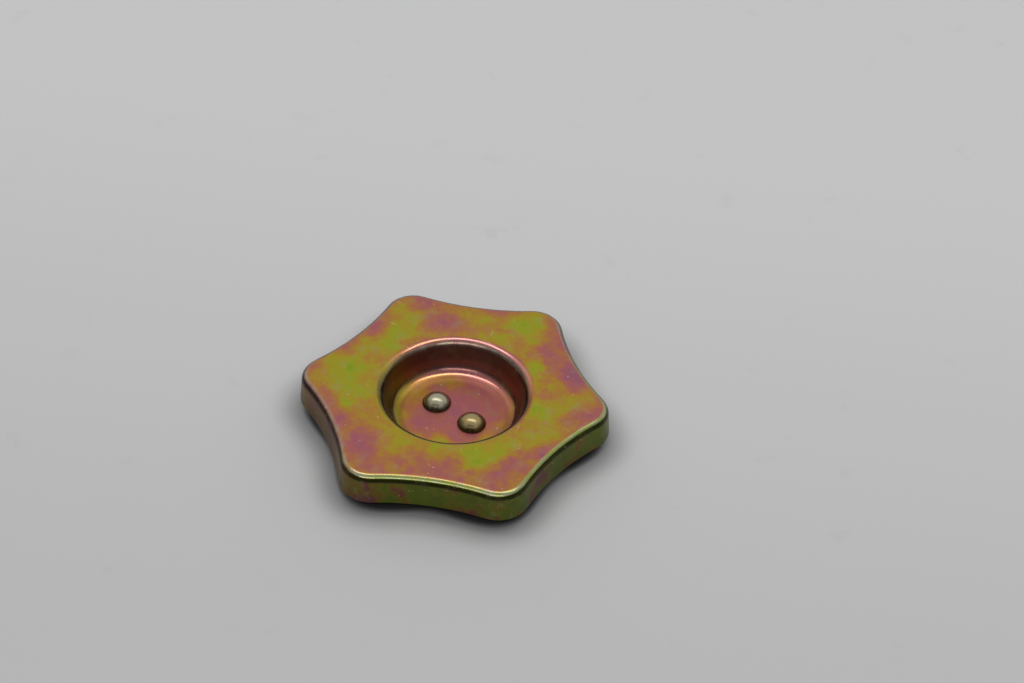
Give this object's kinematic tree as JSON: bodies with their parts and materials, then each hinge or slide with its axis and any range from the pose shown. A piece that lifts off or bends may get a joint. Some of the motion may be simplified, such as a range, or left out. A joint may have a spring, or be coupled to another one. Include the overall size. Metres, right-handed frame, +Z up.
{
  "type": "oil filler cap",
  "caption": "Pressed-steel bayonet oil filler cap with a six-lobed star grip, a round finger well, riveted locking plate and rubber ring.",
  "frame": {"origin": "on the cap's axis, at the level of the surface that the cap stands on: the rivet tails and the lips of the ears", "axes": "+Z up along the cap's axis, out of the filler neck; +X through the tip of one lobe; the rivets and the ears lie on a line 30 degrees from +X towards -Y"},
  "size_m": [0.076, 0.068, 0.0108],
  "materials": {
    "plated_shell": "yellow zinc-chromate plating, iridescent from olive-yellow through green to pink, slightly dulled, with worn edges",
    "plated_plate": "spring steel with the same yellow zinc-chromate plating",
    "rivet_steel": "polished steel, plated pale straw, darker at the foot of the head",
    "seal_rubber": "oil-resistant black rubber, matt"
  },
  "bodies": {
    "root": {"cap_shell": "plated_shell", "locking_plate": "plated_plate", "rivet_1": "rivet_steel", "rivet_2": "rivet_steel", "sealing_ring": "seal_rubber"}
  },
  "joints": []
}
